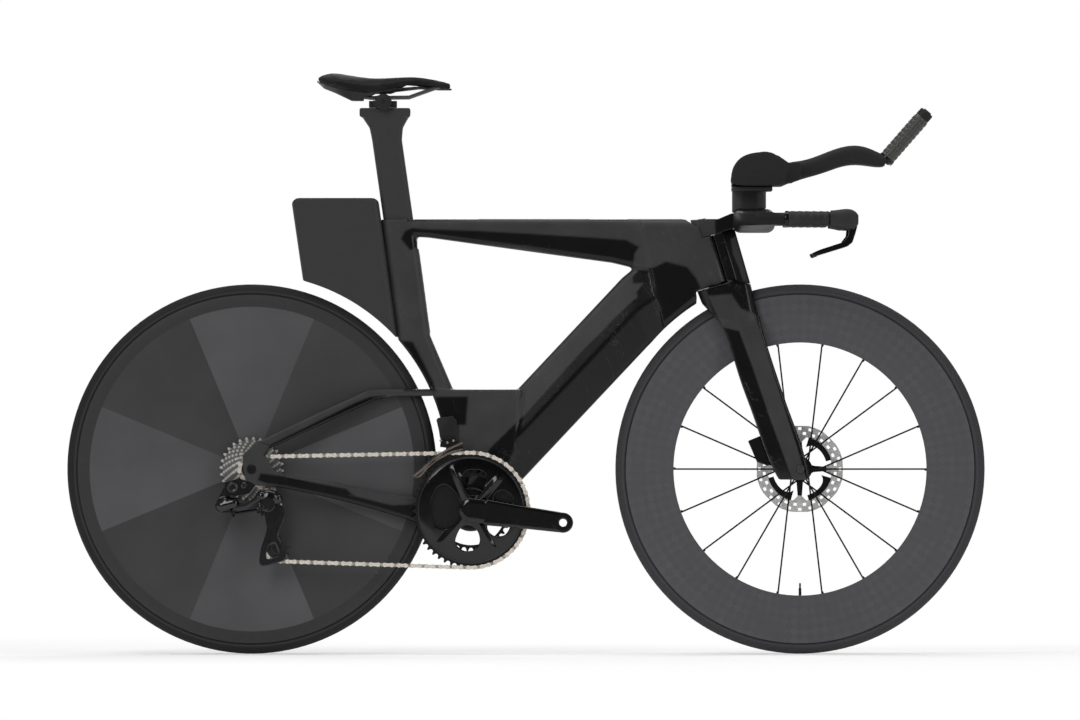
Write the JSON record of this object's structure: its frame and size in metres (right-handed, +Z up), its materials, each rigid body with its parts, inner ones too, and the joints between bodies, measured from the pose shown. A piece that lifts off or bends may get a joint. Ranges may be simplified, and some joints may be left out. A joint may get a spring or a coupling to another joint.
{
  "type": "time trial bike",
  "caption": "Time trial bicycle with an aero frame, full disc rear wheel, deep front wheel, forearm cups with raised extensions and electronic shifting.",
  "frame": {"origin": "on the ground under the middle of the wheelbase", "axes": "+X forward, +Y to the rider's left, +Z up; the chain side faces -Y"},
  "size_m": [1.6789, 0.4086, 1.0613],
  "materials": {
    "carbon_frame": "satin clear coat over dark carbon composite, in two tones of charcoal",
    "carbon_gloss": "gloss black carbon composite",
    "carbon_wheel": "semi-gloss woven carbon composite",
    "tyre": "matte black rubber",
    "black_alloy": "black anodised",
    "steel": "brushed",
    "chain_steel": "plated, slightly warm",
    "black_plastic": "moulded black",
    "brake_lining": "sintered",
    "saddle_skin": "matte synthetic skin over foam",
    "pad_foam": "foam under fabric",
    "grip_rubber": "soft, slightly shiny",
    "rail_carbon": "carbon composite"
  },
  "bodies": {
    "frame": {"front_triangle": "carbon_frame", "seatstays": "carbon_frame", "chainstays": "carbon_frame", "derailleur_hanger": "black_alloy", "bottom_bracket_cups": "black_alloy", "bottom_bracket_bearings": "steel", "headset_bearings": "steel", "storage_box": "carbon_frame", "rear_brake_caliper": "black_alloy", "rear_brake_pads": "brake_lining", "rear_thru_axle": "black_alloy", "front_derailleur_body": "black_plastic", "mech_bracket": "black_plastic", "chain": "chain_steel"},
    "front_cage": {"front_derailleur_cage": "steel"},
    "crank": {"crank_spindle": "steel", "crank_arm_right": "carbon_gloss", "crank_arm_left": "carbon_gloss", "chainring_outer": "black_alloy", "chainring_inner": "black_alloy"},
    "cassette": {"cassette_sprockets": "steel", "freehub_body": "black_alloy"},
    "rear_wheel": {"rear_tyre": "tyre", "rear_rim": "carbon_wheel", "disc_skins": "carbon_wheel", "rear_hub_shell": "black_alloy", "rear_rotor": "steel"},
    "front_wheel": {"front_tyre": "tyre", "front_rim": "carbon_wheel", "front_spokes": "black_alloy", "front_hub_shell": "black_alloy", "front_rotor": "steel", "front_rotor_carrier": "black_alloy"},
    "mech_outer": {"mech_outer_link": "black_alloy"},
    "mech_inner": {"mech_inner_link": "black_alloy"},
    "knuckle": {"mech_knuckle": "black_alloy"},
    "cage": {"mech_cage": "black_alloy"},
    "guide": {"guide_pulley": "black_plastic"},
    "tension": {"tension_pulley": "black_plastic"},
    "steering": {"fork": "carbon_frame", "stem": "carbon_gloss", "base_bar": "carbon_gloss", "riser": "carbon_gloss", "arm_cups": "carbon_gloss", "arm_pads": "pad_foam", "bar_tape": "grip_rubber", "lever_hoods": "grip_rubber", "front_thru_axle": "black_alloy", "front_brake_caliper": "black_alloy", "front_brake_pads": "brake_lining"},
    "lever_r": {"brake_lever_right": "black_alloy"},
    "lever_l": {"brake_lever_left": "black_alloy"},
    "button_r": {"shift_button_right": "black_plastic"},
    "button_l": {"shift_button_left": "black_plastic"},
    "post": {"seatpost": "carbon_frame"},
    "clamp": {"saddle_clamp_base": "black_alloy"},
    "saddle": {"saddle_cradle": "black_alloy", "saddle_rails": "rail_carbon", "saddle_shell": "black_plastic", "saddle_cover": "saddle_skin"}
  },
  "joints": [
    {"name": "steering_turn", "type": "hinge", "parent": "frame", "child": "steering", "pos_m": [0.45847, 0, 0.32484], "axis": [-0.2924, 0, 0.9563], "range_deg": [-35, 35]},
    {"name": "front_wheel_spin", "type": "hinge", "parent": "steering", "child": "front_wheel", "pos_m": [0.5015, 0, 0.338], "axis": [0, 1, 0], "continuous": true},
    {"name": "rear_wheel_spin", "type": "hinge", "parent": "frame", "child": "rear_wheel", "pos_m": [-0.5015, 0, 0.338], "axis": [0, 1, 0], "continuous": true},
    {"name": "crank_spin", "type": "hinge", "parent": "frame", "child": "crank", "pos_m": [-0.1007, 0, 0.263], "axis": [0, 1, 0], "continuous": true, "deforming": ["chain"]},
    {"name": "cassette_spin", "type": "hinge", "parent": "frame", "child": "cassette", "pos_m": [-0.5015, 0, 0.338], "axis": [0, 1, 0], "continuous": true},
    {"name": "mech_shift", "type": "hinge", "parent": "frame", "child": "mech_outer", "pos_m": [-0.53443, -0.07004, 0.26645], "axis": [0, 0.3875, 0.9219], "range_deg": [0, 45], "deforming": ["chain"]},
    {"name": "mech_inner_swing", "type": "hinge", "parent": "frame", "child": "mech_inner", "pos_m": [-0.53443, -0.0599, 0.26218], "axis": [0, 0.3875, 0.9219], "range_deg": [0, 45]},
    {"name": "mech_knuckle_swing", "type": "hinge", "parent": "mech_outer", "child": "knuckle", "pos_m": [-0.48622, -0.088, 0.27399], "axis": [0, 0.3875, 0.9219], "range_deg": [-45, 0]},
    {"name": "mech_cage_swing", "type": "hinge", "parent": "knuckle", "child": "cage", "pos_m": [-0.47221, -0.063, 0.27399], "axis": [0, 1, 0], "range_deg": [-40, 12], "stiffness_Nm_per_rad": 0.6, "deforming": ["chain"]},
    {"name": "guide_pulley_spin", "type": "hinge", "parent": "cage", "child": "guide", "pos_m": [-0.47221, -0.063, 0.27399], "axis": [0, 1, 0], "continuous": true},
    {"name": "tension_pulley_spin", "type": "hinge", "parent": "cage", "child": "tension", "pos_m": [-0.45529, -0.063, 0.19238], "axis": [0, 1, 0], "continuous": true},
    {"name": "front_mech_shift", "type": "slide", "parent": "frame", "child": "front_cage", "axis": [0, 1, 0], "range_m": [0, 0.0055], "deforming": ["chain"]},
    {"name": "brake_lever_right_pull", "type": "hinge", "parent": "steering", "child": "lever_r", "pos_m": [0.59667, -0.188, 0.77733], "axis": [0, 1, 0], "range_deg": [0, 16], "stiffness_Nm_per_rad": 0.8},
    {"name": "brake_lever_left_pull", "type": "hinge", "parent": "steering", "child": "lever_l", "pos_m": [0.59667, 0.188, 0.77733], "axis": [0, 1, 0], "range_deg": [0, 16], "stiffness_Nm_per_rad": 0.8},
    {"name": "shift_button_right_press", "type": "slide", "parent": "steering", "child": "button_r", "axis": [-0.6573, 0, -0.7537], "range_m": [0, 0.0015], "stiffness_N_per_m": 800},
    {"name": "shift_button_left_press", "type": "slide", "parent": "steering", "child": "button_l", "axis": [-0.6573, 0, -0.7537], "range_m": [0, 0.0015], "stiffness_N_per_m": 800},
    {"name": "seatpost_height", "type": "slide", "parent": "frame", "child": "post", "axis": [-0.1414, 0, 0.9899], "range_m": [-0.05, 0.04]},
    {"name": "saddle_setback", "type": "slide", "parent": "post", "child": "clamp", "axis": [1, 0, 0], "range_m": [-0.012, 0.012]},
    {"name": "saddle_tilt", "type": "hinge", "parent": "clamp", "child": "saddle", "pos_m": [-0.26356, 0, 1.01252], "axis": [0, 1, 0], "range_deg": [-8, 8]}
  ],
  "couplings": [
    {"joint": "cassette_spin", "follows": "crank_spin", "ratio": 4.7273},
    {"joint": "guide_pulley_spin", "follows": "crank_spin", "ratio": -4.7273},
    {"joint": "tension_pulley_spin", "follows": "crank_spin", "ratio": 4.7273},
    {"joint": "mech_inner_swing", "follows": "mech_shift", "ratio": 1},
    {"joint": "mech_knuckle_swing", "follows": "mech_shift", "ratio": -1}
  ]
}
